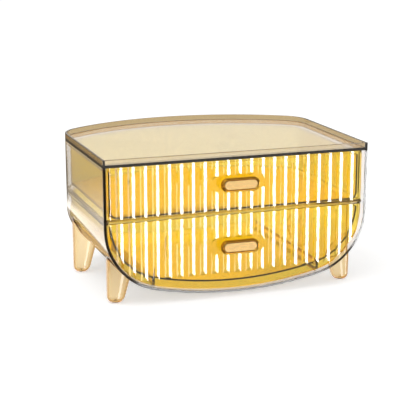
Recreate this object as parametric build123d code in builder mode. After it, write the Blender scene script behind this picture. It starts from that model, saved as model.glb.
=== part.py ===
from build123d import *

import os
from dataclasses import dataclass
from math import atan, atan2, cos, degrees, radians, sin, sqrt, tan

# Countertop cosmetic organizer: a clear casing with a bowed bottom and a bowed back stands on four
# tapered legs, carries a lipped tray on top and holds two amber drawers with fluted fronts.
# Millimetres, +X to the right, +Y to the back, +Z up. The feet stand on Z = 0.

# Casing
casing_width = 300.0
casing_depth = 237.0
casing_height = 146.5
casing_wall = 3.0
corner_radius = 72.0
bow_radius = 420.0
back_corner_radius = 40.0
back_bow_radius = 230.0
ground_gap = 6.0

# Top tray: a plate with a raised lip, located inside the casing by a rim
plate_thickness = 3.0
lip_height = 5.6
lip_thickness = 2.6
lip_round = 0.65
rim_depth = 4.0
rim_thickness = 2.0
rim_gap = 0.3

# Drawer fronts: a plate with vertical flutes in its outer face, left plain round the pull
upper_front_height = 58.5
front_recess = 4.6
front_side_gap = 1.0
front_top_gap = 0.8
front_split_gap = 1.6
panel_thickness = 4.4
flute_pitch = 13.2
flute_width = 7.8
flute_floor = 2.2
flute_depth = 1.7
upper_flute_foot = 2.6
lower_flute_foot = 17.0
flute_run_out = 3.3
boss_width = 62.0
boss_height = 18.0

# Drawer trays
tray_wall = 2.0
tray_inset = 4.0
upper_tray_rise = 3.1
upper_tray_drop = 4.5
upper_tray_corner = 8.0
lower_tray_rise = 7.1
lower_tray_headroom = 2.0

# Shelf under the upper drawer, runners under the lower one
shelf_thickness = 2.5
shelf_gap = 0.3
ledge_width = 4.0
ledge_height = 3.0
slide_gap = 0.3
runner_inset = 55.0
runner_width = 3.0
skid_depth = 4.0
runner_end = 45.0

# Pulls: a pill-shaped bezel on two posts, with a face set into it
pull_width = 43.6
pull_height = 15.0
pull_thickness = 5.0
pull_stand_off = 5.0
pull_edge_round = 1.6
face_width = 37.4
face_height = 9.8
face_thickness = 1.2
face_recess = 0.8
face_bevel = 0.4
face_gap = 0.1
post_spacing = 26.0
post_radius = 3.5
upper_pull_rise = 32.5
lower_pull_drop = 34.3

# Pull screws, driven from inside the drawer
screw_radius = 1.5
screw_gap = 0.15
screw_head_radius = 3.2
screw_head_height = 1.8
screw_head_bevel = 0.9
screw_bite = 6.0

# Legs
leg_foot_radius = 8.8
leg_foot_round = 6.4
leg_flare = 0.14
front_leg_inset = 17.5
back_leg_inset = 11.8
front_leg_setback = 26.0
back_leg_setback = 152.5
spigot_radius = 4.5
spigot_gap = 0.1
pad_radius = 2.2
pad_thickness = 1.2
pad_reach = 0.4

# Levels and planes that follow from the sizes above
casing_bottom = ground_gap
seam = casing_bottom + casing_height
plate_top = seam + plate_thickness
lip_top = plate_top + lip_height
pull_reach = pull_thickness + pull_stand_off - front_recess
casing_front = (pull_reach - casing_depth) / 2
casing_back = casing_front + casing_depth

panel_front = casing_front + front_recess
panel_back = panel_front + panel_thickness
shelf_front = panel_back + slide_gap

front_inset = casing_wall + front_side_gap
tray_plan_inset = front_inset + tray_inset
upper_front_top = seam - front_top_gap
upper_front_bottom = upper_front_top - upper_front_height
lower_front_top = upper_front_bottom - front_split_gap
lower_front_bottom = casing_bottom + front_inset
front_half = casing_width / 2 - front_inset

upper_tray_bottom = upper_front_bottom + upper_tray_rise
upper_tray_top = upper_front_top - upper_tray_drop
shelf_top = upper_tray_bottom - slide_gap
shelf_bottom = shelf_top - shelf_thickness
ledge_bottom = shelf_bottom - ledge_height
lower_tray_top = ledge_bottom - lower_tray_headroom
runner_x = casing_width / 2 - runner_inset

pull_back = panel_front - pull_stand_off
pull_front = pull_back - pull_thickness
upper_pull_z = upper_front_bottom + upper_pull_rise
lower_pull_z = lower_front_top - lower_pull_drop

# A leg is a cone that leans inwards by half its opening, so that its outer side is upright
leg_lean = atan(2 * leg_flare) / 2
leg_apex_depth = leg_foot_radius / leg_flare
leg_blank_top = seam / 2
leg_foot_trim = 2 * (leg_foot_radius - leg_foot_round) * sin(leg_lean)


@dataclass(frozen=True)
class Bowl:
    """A front outline with straight sides, round lower corners and a bowed bottom, all tangent."""

    half: float
    corner: float
    bow: float
    bottom: float

    def inset(self, distance):
        """The parallel outline that lies this far inside."""
        return Bowl(
            self.half - distance,
            self.corner - distance,
            self.bow - distance,
            self.bottom + distance,
        )

    def raised(self, distance):
        """The same outline, this much higher."""
        return Bowl(self.half, self.corner, self.bow, self.bottom + distance)

    @property
    def bow_centre(self):
        """Height of the bow's centre."""
        return self.bottom + self.bow

    @property
    def corner_centre(self):
        """Place of the right corner's centre, which makes the corner tangent to the side and the bow."""
        x = self.half - self.corner
        return x, self.bow_centre - sqrt((self.bow - self.corner) ** 2 - x**2)

    @property
    def spread(self):
        """Angle from straight down to where the bow meets the corner."""
        x, z = self.corner_centre
        return degrees(atan2(x, self.bow_centre - z))

    def height_at(self, x):
        """Height of the outline's lower edge at this distance from the middle."""
        if x <= self.bow * sin(radians(self.spread)):
            return self.bow_centre - sqrt(self.bow**2 - x**2)
        centre_x, centre_z = self.corner_centre
        return centre_z - sqrt(self.corner**2 - (x - centre_x) ** 2)

    def face(self, top):
        """Draw the outline, closed at this height, in the sketch that is open."""
        x, z = self.corner_centre
        turn = 90 - self.spread
        with BuildLine() as outline:
            Polyline((-self.half, z), (-self.half, top), (self.half, top), (self.half, z))
            CenterArc((-x, z), self.corner, 180, turn)
            CenterArc((0, self.bow_centre), self.bow, 270 - self.spread, 2 * self.spread)
            CenterArc((x, z), self.corner, 270 + self.spread, turn)
        make_face(outline.edges())


def plan_face(inset, front, mode=Mode.ADD):
    """Draw the casing's plan, inset by this much and cut straight at the front, in the open sketch."""
    half = casing_width / 2 - inset
    corner = back_corner_radius - inset
    bow = back_bow_radius - inset
    bow_y = casing_back - back_bow_radius
    x = half - corner
    y = bow_y + sqrt((bow - corner) ** 2 - x**2)
    spread = degrees(atan2(x, y - bow_y))
    with BuildLine() as outline:
        Polyline((half, y), (half, front), (-half, front), (-half, y))
        CenterArc((x, y), corner, 0, 90 - spread)
        CenterArc((0, bow_y), bow, 90 - spread, 2 * spread)
        CenterArc((-x, y), corner, 90 + spread, 90 - spread)
    make_face(outline.edges(), mode=mode)


def front_plane(y):
    """A drawing plane that faces the front, with X to the right and Y up."""
    return Plane(origin=(0, y, 0), x_dir=(1, 0, 0), z_dir=(0, -1, 0))


casing_bowl = Bowl(casing_width / 2, corner_radius, bow_radius, casing_bottom)
cavity_bowl = casing_bowl.inset(casing_wall)
front_bowl = casing_bowl.inset(front_inset)
lower_tray_bowl = front_bowl.inset(tray_inset).raised(lower_tray_rise - tray_inset)
skid_bottom = lower_tray_bowl.height_at(runner_x) - skid_depth
runner_top = skid_bottom - slide_gap
runner_length = casing_back - runner_end - panel_back

os.makedirs("parts", exist_ok=True)

# Outer form of the casing and the hollow inside it, used to cut the pieces that meet them
with BuildPart() as casing_form:
    with BuildSketch(front_plane(casing_front)):
        casing_bowl.face(seam)
    extrude(amount=-casing_depth)
    with BuildSketch(Plane.XY.offset(casing_bottom)):
        plan_face(0, casing_front)
    extrude(amount=casing_height, mode=Mode.INTERSECT)

with BuildPart() as casing_cavity:
    with BuildSketch(front_plane(casing_front - casing_wall)):
        cavity_bowl.face(seam + casing_wall)
    extrude(amount=-casing_depth)
    with BuildSketch(Plane.XY.offset(casing_bottom)):
        plan_face(casing_wall, casing_front - casing_wall)
    extrude(amount=casing_height + casing_wall, mode=Mode.INTERSECT)

front_leg_x = casing_width / 2 - front_leg_inset
back_leg_x = casing_width / 2 - back_leg_inset
leg_places = {
    "leg_front_left": (-front_leg_x, casing_front + front_leg_setback),
    "leg_front_right": (front_leg_x, casing_front + front_leg_setback),
    "leg_back_left": (-back_leg_x, casing_front + back_leg_setback),
    "leg_back_right": (back_leg_x, casing_front + back_leg_setback),
}

# Casing: the shell, the ledge that carries the shelf, the runners and the sockets for the legs
with BuildPart() as casing:
    add(casing_form.part)
    add(casing_cavity.part, mode=Mode.SUBTRACT)
    with BuildSketch(Plane.XY.offset(ledge_bottom)):
        plan_face(casing_wall / 2, shelf_front)
        plan_face(casing_wall + ledge_width, shelf_front - ledge_width, mode=Mode.SUBTRACT)
    extrude(amount=ledge_height)
    with BuildSketch(front_plane(shelf_front)):
        runner_foot = casing_bowl.height_at(runner_x) + casing_wall / 2
        with Locations((-runner_x, 0), (runner_x, 0)):
            with Locations((0, (runner_foot + runner_top) / 2)):
                Rectangle(runner_width, runner_top - runner_foot)
    extrude(amount=-runner_length)
    with BuildSketch(Plane.XY):
        with Locations(*leg_places.values()):
            Circle(spigot_radius + spigot_gap)
    extrude(amount=leg_blank_top, mode=Mode.SUBTRACT)
casing.part.label = "casing"
export_step(casing.part, "parts/casing.step")

# Top tray: the plate, the lip round its edge and the locating rim below
with BuildPart() as top_tray:
    with BuildSketch(Plane.XY.offset(seam)):
        plan_face(0, casing_front)
    extrude(amount=lip_top - seam)
    with BuildSketch(Plane.XY.offset(plate_top)):
        plan_face(lip_thickness, casing_front + lip_thickness)
    extrude(amount=lip_height, mode=Mode.SUBTRACT)
    with BuildSketch(Plane.XY.offset(seam)):
        plan_face(casing_wall + rim_gap, shelf_front)
        plan_face(casing_wall + rim_gap + rim_thickness, shelf_front - rim_thickness, mode=Mode.SUBTRACT)
    extrude(amount=-rim_depth)
    lip_edges = top_tray.edges().filter_by(Plane.XY).group_by(Axis.Z)[-1]
    fillet(lip_edges, lip_round)
top_tray.part.label = "top_tray"
export_step(top_tray.part, "parts/top_tray.step")

# Shelf: a plate that lies on the casing's ledge and carries the upper drawer
with BuildPart() as middle_shelf:
    with BuildSketch(Plane.XY.offset(shelf_bottom)):
        plan_face(casing_wall + shelf_gap, shelf_front)
    extrude(amount=shelf_thickness)
middle_shelf.part.label = "middle_shelf"
export_step(middle_shelf.part, "parts/middle_shelf.step")

# Legs: leaning cones with a round foot, cut to the casing's curve, with a spigot in the casing
cone_start = (leg_apex_depth + pad_reach - leg_foot_trim) / cos(leg_lean)
cone_end = (leg_apex_depth + leg_blank_top) / cos(leg_lean)
for leg_name, (foot_x, foot_y) in leg_places.items():
    outward = foot_x / abs(foot_x)
    apex = (foot_x + outward * leg_foot_radius, foot_y, -leg_apex_depth)
    lean_axis = (-outward * sin(leg_lean), 0, cos(leg_lean))
    section_normal = (cos(leg_lean), 0, outward * sin(leg_lean))
    with BuildPart() as leg:
        with BuildSketch(Plane(origin=apex, x_dir=(0, 1, 0), z_dir=section_normal)) as section:
            with BuildLine():
                Polyline(
                    (0, cone_start),
                    (cone_start * tan(leg_lean), cone_start),
                    (cone_end * tan(leg_lean), cone_end),
                    (0, cone_end),
                    close=True,
                )
            make_face()
            fillet(section.vertices().group_by(Axis.Y)[0].sort_by(Axis.X)[-1], leg_foot_round)
        revolve(axis=Axis(apex, lean_axis))
        with BuildSketch(Plane.XY.offset(pad_reach)):
            with Locations((foot_x, foot_y)):
                Circle(2 * leg_foot_radius)
        extrude(amount=-leg_foot_round, mode=Mode.SUBTRACT)
        add(casing_form.part, mode=Mode.SUBTRACT)
        with BuildSketch(Plane.XY.offset(casing_bottom)):
            with Locations((foot_x, foot_y)):
                Circle(spigot_radius)
        extrude(amount=leg_blank_top - casing_bottom)
        add(casing_cavity.part, mode=Mode.SUBTRACT)
        with BuildSketch(Plane.XY):
            with Locations((foot_x, foot_y)):
                Circle(pad_radius)
        extrude(amount=pad_thickness, mode=Mode.SUBTRACT)
    leg.part.label = leg_name
    export_step(leg.part, f"parts/{leg_name}.step")

    with BuildPart() as foot_pad:
        with BuildSketch(Plane.XY):
            with Locations((foot_x, foot_y)):
                Circle(pad_radius)
        extrude(amount=pad_thickness)
    pad_name = leg_name.replace("leg", "foot_pad")
    foot_pad.part.label = pad_name
    export_step(foot_pad.part, f"parts/{pad_name}.step")

# Flutes: one row of grooves with sloping flanks, which cut right across both fronts from ahead of them
flute_count = 2 * int(front_half / flute_pitch) + 1
flute_flank = (flute_width - flute_floor) / 2
flute_mouth = flute_width + flute_flank
flute_mouth_y = panel_front - flute_depth / 2
flute_floor_y = panel_front + flute_depth
with BuildPart() as flute_row:
    with BuildSketch(Plane.XY):
        with GridLocations(flute_pitch, 1, flute_count, 1):
            Polygon(
                (-flute_mouth / 2, flute_mouth_y),
                (flute_mouth / 2, flute_mouth_y),
                (flute_floor / 2, flute_floor_y),
                (-flute_floor / 2, flute_floor_y),
                align=None,
            )
    extrude(amount=seam)


def flutes_above(bottom, run_out):
    """The flutes down to this height, where their floors slope out over this length."""
    with BuildPart() as flutes:
        with BuildSketch(Plane.YZ.offset(-casing_width / 2)):
            Polygon(
                (flute_mouth_y, bottom - run_out / 2),
                (flute_floor_y, bottom + run_out),
                (flute_floor_y, seam),
                (flute_mouth_y, seam),
                align=None,
            )
        extrude(amount=casing_width)
        add(flute_row.part, mode=Mode.INTERSECT)
    return flutes.part


def drawer_front(plate, flutes, pull_z):
    """A drawer front: its plate, less the flutes outside the boss, and the screw holes."""
    with BuildPart() as grooves:
        add(flutes)
        with BuildSketch(front_plane(panel_back)):
            with Locations((0, pull_z)):
                SlotOverall(boss_width, boss_height)
        extrude(amount=2 * panel_thickness, mode=Mode.SUBTRACT)
    with BuildPart() as front:
        add(plate)
        add(grooves.part, mode=Mode.SUBTRACT)
        with BuildSketch(front_plane(panel_back)):
            with Locations((-post_spacing / 2, pull_z), (post_spacing / 2, pull_z)):
                Circle(screw_radius + screw_gap)
        extrude(amount=panel_thickness, mode=Mode.SUBTRACT)
    return front.part


with BuildPart() as upper_plate:
    with BuildSketch(front_plane(panel_back)):
        with Locations((0, (upper_front_top + upper_front_bottom) / 2)):
            Rectangle(2 * front_half, upper_front_height)
    extrude(amount=panel_thickness)

with BuildPart() as lower_plate:
    with BuildSketch(front_plane(panel_back)):
        front_bowl.face(seam)
        with Locations((0, lower_front_top)):
            below = (Align.CENTER, Align.MAX)
            Rectangle(casing_width, casing_height, align=below, mode=Mode.INTERSECT)
    extrude(amount=panel_thickness)

upper_flutes = flutes_above(upper_front_bottom + upper_flute_foot, 0)
lower_flutes = flutes_above(lower_front_bottom + lower_flute_foot, flute_run_out)

upper_drawer_front = drawer_front(upper_plate.part, upper_flutes, upper_pull_z)
upper_drawer_front.label = "upper_drawer_front"
export_step(upper_drawer_front, "parts/upper_drawer_front.step")

lower_drawer_front = drawer_front(lower_plate.part, lower_flutes, lower_pull_z)
lower_drawer_front.label = "lower_drawer_front"
export_step(lower_drawer_front, "parts/lower_drawer_front.step")

# Upper tray: a trough with round lower corners and a bowed back, open at the top, closed by its front
upper_tray_height = upper_tray_top - upper_tray_bottom
upper_tray_half = front_half - tray_inset
tray_depth = casing_back - tray_plan_inset - panel_back


def upper_trough(inset):
    """The upper tray's outer form, or with an inset the hollow inside it, which runs out at the top."""
    with BuildPart() as trough:
        with BuildSketch(front_plane(panel_back)) as section:
            with Locations((0, upper_tray_bottom + inset + upper_tray_height / 2)):
                Rectangle(2 * (upper_tray_half - inset), upper_tray_height)
            fillet(section.vertices().group_by(Axis.Y)[0], upper_tray_corner - inset)
        extrude(amount=-tray_depth)
        with BuildSketch(Plane.XY.offset(upper_tray_bottom)):
            plan_face(tray_plan_inset + inset, panel_back)
        extrude(amount=upper_tray_height + inset, mode=Mode.INTERSECT)
    return trough.part


with BuildPart() as upper_drawer_tray:
    add(upper_trough(0))
    add(upper_trough(tray_wall), mode=Mode.SUBTRACT)
upper_drawer_tray.part.label = "upper_drawer_tray"
export_step(upper_drawer_tray.part, "parts/upper_drawer_tray.step")


def lower_trough(inset):
    """The lower tray's outer form, or with an inset the hollow inside it, which runs out at the top."""
    with BuildPart() as trough:
        with BuildSketch(front_plane(panel_back)):
            lower_tray_bowl.inset(inset).face(seam)
        extrude(amount=-tray_depth)
        with BuildSketch(Plane.XY.offset(casing_bottom)):
            plan_face(tray_plan_inset + inset, panel_back)
        extrude(amount=lower_tray_top + inset - casing_bottom, mode=Mode.INTERSECT)
    return trough.part


# Lower tray: the same, with the casing's bowed bottom and two skids that stand on the runners
with BuildPart() as lower_drawer_tray:
    add(lower_trough(0))
    add(lower_trough(tray_wall), mode=Mode.SUBTRACT)
    with BuildSketch(front_plane(panel_back)):
        skid_top = lower_tray_bowl.height_at(runner_x) + tray_wall / 2
        with Locations((-runner_x, 0), (runner_x, 0)):
            with Locations((0, (skid_bottom + skid_top) / 2)):
                Rectangle(runner_width, skid_top - skid_bottom)
    extrude(amount=-runner_length)
lower_drawer_tray.part.label = "lower_drawer_tray"
export_step(lower_drawer_tray.part, "parts/lower_drawer_tray.step")

# Pulls, their faces and their screws
for drawer, pull_z in (("upper", upper_pull_z), ("lower", lower_pull_z)):
    post_places = [(-post_spacing / 2, pull_z), (post_spacing / 2, pull_z)]

    with BuildPart() as pull:
        with BuildSketch(front_plane(pull_back)):
            with Locations((0, pull_z)):
                SlotOverall(pull_width, pull_height)
        extrude(amount=pull_thickness)
        fillet(pull.edges().group_by(Axis.Y)[0], pull_edge_round)
        with BuildSketch(front_plane(pull_front)):
            with Locations((0, pull_z)):
                SlotOverall(face_width + 2 * face_gap, face_height + 2 * face_gap)
        extrude(amount=-(face_recess + face_thickness), mode=Mode.SUBTRACT)
        with BuildSketch(front_plane(panel_front)):
            with Locations(*post_places):
                Circle(post_radius)
        extrude(amount=pull_stand_off)
        with BuildSketch(front_plane(panel_front)):
            with Locations(*post_places):
                Circle(screw_radius + screw_gap)
        extrude(amount=screw_bite + screw_gap, mode=Mode.SUBTRACT)
    pull.part.label = f"{drawer}_pull"
    export_step(pull.part, f"parts/{drawer}_pull.step")

    with BuildPart() as pull_face:
        with BuildSketch(front_plane(pull_front + face_recess + face_thickness)):
            with Locations((0, pull_z)):
                SlotOverall(face_width, face_height)
        extrude(amount=face_thickness)
        chamfer(pull_face.edges().group_by(Axis.Y)[0], face_bevel)
    pull_face.part.label = f"{drawer}_pull_face"
    export_step(pull_face.part, f"parts/{drawer}_pull_face.step")

    with BuildPart() as pull_screws:
        with BuildSketch(front_plane(panel_back)):
            with Locations(*post_places):
                Circle(screw_head_radius)
        extrude(amount=-screw_head_height)
        chamfer(pull_screws.edges().group_by(Axis.Y)[-1], screw_head_bevel)
        with BuildSketch(front_plane(panel_back)):
            with Locations(*post_places):
                Circle(screw_radius)
        extrude(amount=panel_thickness + screw_bite)
    pull_screws.part.label = f"{drawer}_pull_screws"
    export_step(pull_screws.part, f"parts/{drawer}_pull_screws.step")
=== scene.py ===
import logging
import math
from collections.abc import Sequence
from dataclasses import dataclass
from enum import Enum
from functools import cache

import bmesh
import bpy
from bpy.types import Material, Node, NodeOutputs, NodeSocket, NodeTree, Object
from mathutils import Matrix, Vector


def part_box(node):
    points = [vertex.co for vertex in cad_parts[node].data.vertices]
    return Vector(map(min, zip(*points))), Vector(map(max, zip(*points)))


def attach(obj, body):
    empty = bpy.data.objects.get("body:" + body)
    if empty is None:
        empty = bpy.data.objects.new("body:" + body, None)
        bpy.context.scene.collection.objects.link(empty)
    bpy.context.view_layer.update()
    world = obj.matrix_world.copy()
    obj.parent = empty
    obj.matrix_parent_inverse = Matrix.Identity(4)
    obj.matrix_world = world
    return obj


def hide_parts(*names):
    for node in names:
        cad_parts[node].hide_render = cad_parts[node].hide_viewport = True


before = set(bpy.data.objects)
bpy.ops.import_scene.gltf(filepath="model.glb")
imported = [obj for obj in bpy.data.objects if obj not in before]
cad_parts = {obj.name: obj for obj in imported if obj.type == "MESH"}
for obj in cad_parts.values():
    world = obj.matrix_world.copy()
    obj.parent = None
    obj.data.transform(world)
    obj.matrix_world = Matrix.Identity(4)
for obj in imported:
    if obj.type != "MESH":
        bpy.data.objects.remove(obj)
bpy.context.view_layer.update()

# A countertop cosmetic organizer: clear casing, tinted top tray, two amber drawers with fluted fronts.
# Lengths are metres in the frame's own axes: +X to the right, +Y to the back, +Z up.

MM = 0.001
WHITE = "#FFFFFF"
# Places along a bowed edge, from -1 at the left side to 1 at the right, denser towards the sides
STATIONS = 90
SWINGS = [math.sin(math.pi * (step / STATIONS - 0.5)) for step in range(STATIONS + 1)]
SIDES = (-1, 1)
# The turn from which an edge counts as sharp, and the smaller one for the flutes' shallow flanks
SHARP_ANGLE = math.radians(38)
FLUTE_ANGLE = math.radians(20)
# Points that lie closer than this become one
MERGE = 0.002 * MM

log = logging.getLogger("organizer")

Ring = list[Vector]
Colour = tuple[float, float, float, float]
# For each of a node's inputs, by name or number, a value or the output that feeds it
Inputs = dict[str | int, object]


@cache
def cad_box(name: str) -> tuple[Vector, Vector]:
    """The low and the high corner of one of the frame's nodes."""
    low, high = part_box(name)
    return Vector(low), Vector(high)


class Body(Enum):
    """The bodies of the frame that pieces ride on."""

    CASING = "casing"
    UPPER = "upper_drawer"
    LOWER = "lower_drawer"


class Slot(Enum):
    """The record's material slots."""

    CLEAR = "clear_plastic"
    CHAMPAGNE = "champagne_plastic"
    AMBER = "amber_plastic"
    LEG = "leg_plastic"
    GOLD = "gold_plating"
    SATIN = "satin_champagne"
    STEEL = "steel"
    SILICONE = "silicone"


def linear(code: str) -> Colour:
    """Turn an sRGB hex colour into a linear one.

    Args:
        code: the colour as "#RRGGBB".

    Returns:
        Linear red, green and blue, and an alpha of 1.
    """
    shares = [int(code[i : i + 2], 16) / 255 for i in (1, 3, 5)]
    red, green, blue = [s / 12.92 if s <= 0.04045 else ((s + 0.055) / 1.055) ** 2.4 for s in shares]
    return red, green, blue, 1.0


def connect(tree: NodeTree, node: Node, inputs: Inputs) -> None:
    """Set a node's inputs.

    Args:
        tree: the node's tree.
        node: the node.
        inputs: the inputs to set.
    """
    for key, value in inputs.items():
        if isinstance(value, NodeSocket):
            tree.links.new(value, node.inputs[key])
        else:
            node.inputs[key].default_value = value


def add_node(tree: NodeTree, kind: str, inputs: Inputs | None = None, **settings: str) -> Node:
    """Add a node to a tree.

    Args:
        tree: the tree that gets the node.
        kind: the node's type.
        inputs: the inputs to set.
        settings: the node's own properties.

    Returns:
        The new node.
    """
    node = tree.nodes.new(kind)
    for name, value in settings.items():
        setattr(node, name, value)
    connect(tree, node, inputs or {})
    return node


def window(
    tree: NodeTree, sides: Sequence[tuple[NodeSocket, float, int]], soft: float, level: float = 1.0
) -> NodeSocket:
    """Add the nodes for a window with soft sides.

    Args:
        tree: the tree that gets the nodes.
        sides: for each side a measure, its limit, and 1 or -1 where the inside lies above or below it.
        soft: half the width over which a side fades.
        level: the value inside.

    Returns:
        The level inside the window and 0 outside.
    """
    share = level
    for measure, limit, inwards in sides:
        fade = {"Value": measure, "From Min": limit - inwards * soft, "From Max": limit + inwards * soft}
        side = add_node(tree, "ShaderNodeMapRange", fade, interpolation_type="SMOOTHSTEP").outputs[0]
        share = add_node(tree, "ShaderNodeMath", {0: share, 1: side}, operation="MULTIPLY").outputs[0]
    return share


def blank(name: str) -> tuple[Material, NodeTree, Node]:
    """Start a material.

    Args:
        name: the material's name.

    Returns:
        The material, its tree and its shader.
    """
    made = bpy.data.materials.new(name)
    made.use_nodes = True
    return made, made.node_tree, made.node_tree.nodes["Principled BSDF"]


@dataclass(frozen=True)
class Zone:
    """A band of a moulding between two heights and behind one depth, painted darker: painted shade in its
    base colour.
    """

    painted_shade: str
    foot_mm: float
    head_mm: float
    front_mm: float = -500.0
    soft_mm: float = 0.08

    def wire(self, tree: NodeTree, place: NodeSocket, colour: NodeSocket | Colour) -> NodeSocket:
        """Add the nodes that paint the band's shade.

        Args:
            tree: the material's tree.
            place: the point's coordinates.
            colour: the colour outside the band.

        Returns:
            The painted shade inside the band and the given colour outside.
        """
        split = add_node(tree, "ShaderNodeSeparateXYZ", {"Vector": place}).outputs
        sides = (
            (split["Z"], self.foot_mm * MM, 1),
            (split["Z"], self.head_mm * MM, -1),
            (split["Y"], self.front_mm * MM, 1),
        )
        shades = {0: window(tree, sides, self.soft_mm * MM), 6: colour, 7: linear(self.painted_shade)}
        return add_node(tree, "ShaderNodeMix", shades, data_type="RGBA").outputs[2]


@dataclass(frozen=True)
class ClearPlastic:
    """Injection-moulded polystyrene: glossy, see-through, with a faint ripple from the mould."""

    name: str
    slot: Slot
    dye: str
    dye_per_mm: float
    ior: float = 1.59
    roughness: float = 0.03
    haze: float = 2.0
    ripple_mm: float = 9.0
    ripple_detail: float = 2.0
    ripple_depth_mm: float = 0.002
    shade_bands: tuple[Zone, ...] = ()

    def material(self) -> Material:
        """Make the material: a clear skin over a dyed body, with any bands of painted shade in its base
        colour.

        Returns:
            The material.
        """
        made, tree, shader = blank(self.name)
        place = add_node(tree, "ShaderNodeTexCoord").outputs["Object"]
        noise = {"Vector": place, "Scale": 1 / (self.ripple_mm * MM), "Detail": self.ripple_detail}
        ripple = add_node(tree, "ShaderNodeTexNoise", noise).outputs["Fac"]
        spread = {"Value": ripple, "To Min": self.roughness, "To Max": self.haze * self.roughness}
        relief = {"Height": ripple, "Distance": self.ripple_depth_mm * MM}
        colour = linear(WHITE)
        look = {
            "Base Color": colour,
            "Transmission Weight": 1.0,
            "IOR": self.ior,
            "Roughness": add_node(tree, "ShaderNodeMapRange", spread).outputs["Result"],
            "Normal": add_node(tree, "ShaderNodeBump", relief).outputs["Normal"],
        }
        connect(tree, shader, look)
        # Bands of painted shade darken the base colour where they are given
        for zone in self.shade_bands:
            colour = zone.wire(tree, place, colour)
            connect(tree, shader, {"Base Color": colour})
        body = {"Color": linear(self.dye), "Density": self.dye_per_mm / MM}
        dyed = add_node(tree, "ShaderNodeVolumeAbsorption", body)
        connect(tree, tree.nodes["Material Output"], {"Volume": dyed.outputs["Volume"]})
        return made


class Grain(Enum):
    """Which way the brush lines on a metal run, as the number of the axis."""

    ACROSS = 0
    INWARDS = 1


@dataclass(frozen=True)
class PlatedMetal:
    """A plated or anodised metal with fine brush lines on it."""

    name: str
    slot: Slot
    colour: str
    worn: str
    roughness: float
    line_mm: float
    line_length_mm: float
    line_depth_mm: float
    grain: Grain = Grain.ACROSS
    line_detail: float = 3.0
    shiniest: float = 0.7
    dullest: float = 1.4

    def material(self) -> Material:
        """Make the material: brush lines vary its roughness, colour and relief.

        Returns:
            The material.
        """
        made, tree, shader = blank(self.name)
        place = add_node(tree, "ShaderNodeTexCoord").outputs["Object"]
        spread_mm = [self.line_mm] * 3
        spread_mm[self.grain.value] = self.line_length_mm
        stretch = {"Vector": place, "Scale": [1 / (mm * MM) for mm in spread_mm]}
        along = add_node(tree, "ShaderNodeMapping", stretch).outputs["Vector"]
        brushed = {"Vector": along, "Scale": 1.0, "Detail": self.line_detail}
        lines = add_node(tree, "ShaderNodeTexNoise", brushed).outputs["Fac"]
        limits = (self.shiniest * self.roughness, self.dullest * self.roughness)
        shine = {"Value": lines, "To Min": limits[0], "To Max": limits[1]}
        shades = {0: lines, 6: linear(self.colour), 7: linear(self.worn)}
        relief = {"Height": lines, "Distance": self.line_depth_mm * MM}
        look = {
            "Metallic": 1.0,
            "Roughness": add_node(tree, "ShaderNodeMapRange", shine).outputs["Result"],
            "Base Color": add_node(tree, "ShaderNodeMix", shades, data_type="RGBA").outputs[2],
            "Normal": add_node(tree, "ShaderNodeBump", relief).outputs["Normal"],
        }
        connect(tree, shader, look)
        return made


@dataclass(frozen=True)
class Silicone:
    """Pressed silicone: soft, milky and finely speckled."""

    name: str
    slot: Slot
    colour: str
    speckle: str
    roughness: float = 0.6
    milkiness: float = 0.3
    grit_mm: float = 0.6
    grit_detail: float = 2.0
    grit_depth_mm: float = 0.05

    def material(self) -> Material:
        """Make the material: a fine grit in its colour and relief.

        Returns:
            The material.
        """
        made, tree, shader = blank(self.name)
        place = add_node(tree, "ShaderNodeTexCoord").outputs["Object"]
        grain = {"Vector": place, "Scale": 1 / (self.grit_mm * MM), "Detail": self.grit_detail}
        grit = add_node(tree, "ShaderNodeTexNoise", grain).outputs["Fac"]
        shades = {0: grit, 6: linear(self.colour), 7: linear(self.speckle)}
        relief = {"Height": grit, "Distance": self.grit_depth_mm * MM}
        look = {
            "Roughness": self.roughness,
            "Subsurface Weight": self.milkiness,
            "Base Color": add_node(tree, "ShaderNodeMix", shades, data_type="RGBA").outputs[2],
            "Normal": add_node(tree, "ShaderNodeBump", relief).outputs["Normal"],
        }
        connect(tree, shader, look)
        return made


Finish = ClearPlastic | PlatedMetal | Silicone

# Undyed polystyrene: water-clear through a wall, dark grey along it, where the light runs far
CLEAR = ClearPlastic("clear_polystyrene_moulded", Slot.CLEAR, "#B4B6BC", 0.025)
# Clear sheet for the shelf, thinner and with hardly any grey in its edges
SHEET = ClearPlastic("clear_polystyrene_sheet", Slot.CLEAR, "#E4D8C0", 0.006)
# Painted shade in the lip: a brown band in the champagne plastic's base colour, standing in for the shade
# that its curved walls show
LIP_PAINTED_SHADE = Zone("#C4AE84", foot_mm=155.62, head_mm=165.0, front_mm=-112.0)
# Painted shade along the plate's edge: a near-black band in its base colour, standing in for the dark that
# light running along the plate leaves
PLATE_EDGE_PAINTED_SHADE = Zone("#0A0A0E", foot_mm=152.55, head_mm=155.45)
# Champagne dye, cream through the plate, with both bands of painted shade
CHAMPAGNE = ClearPlastic(
    "champagne_polystyrene_with_painted_shade", Slot.CHAMPAGNE, "#CEC3B0", 0.12, shade_bands=(LIP_PAINTED_SHADE, PLATE_EDGE_PAINTED_SHADE)
)
# Amber dye takes the blue first, then the green: yellow in a thin wall, red along it
AMBER = ClearPlastic("amber_polystyrene_moulded", Slot.AMBER, "#FBF000", 0.56)
# Honey dye in the thin wall of hollow legs: pale in the middle, brown along their sides
HONEY = ClearPlastic("honey_polystyrene_moulded", Slot.LEG, "#F8D400", 0.22, roughness=0.05)
# Gold flash over polished zinc: deep gold, with a trace of the polishing lines
GOLD = PlatedMetal("gold_plated_zinc_polished", Slot.GOLD, "#B8903E", "#A07A30", 0.1, 0.5, 9.0, 0.001)
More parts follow.
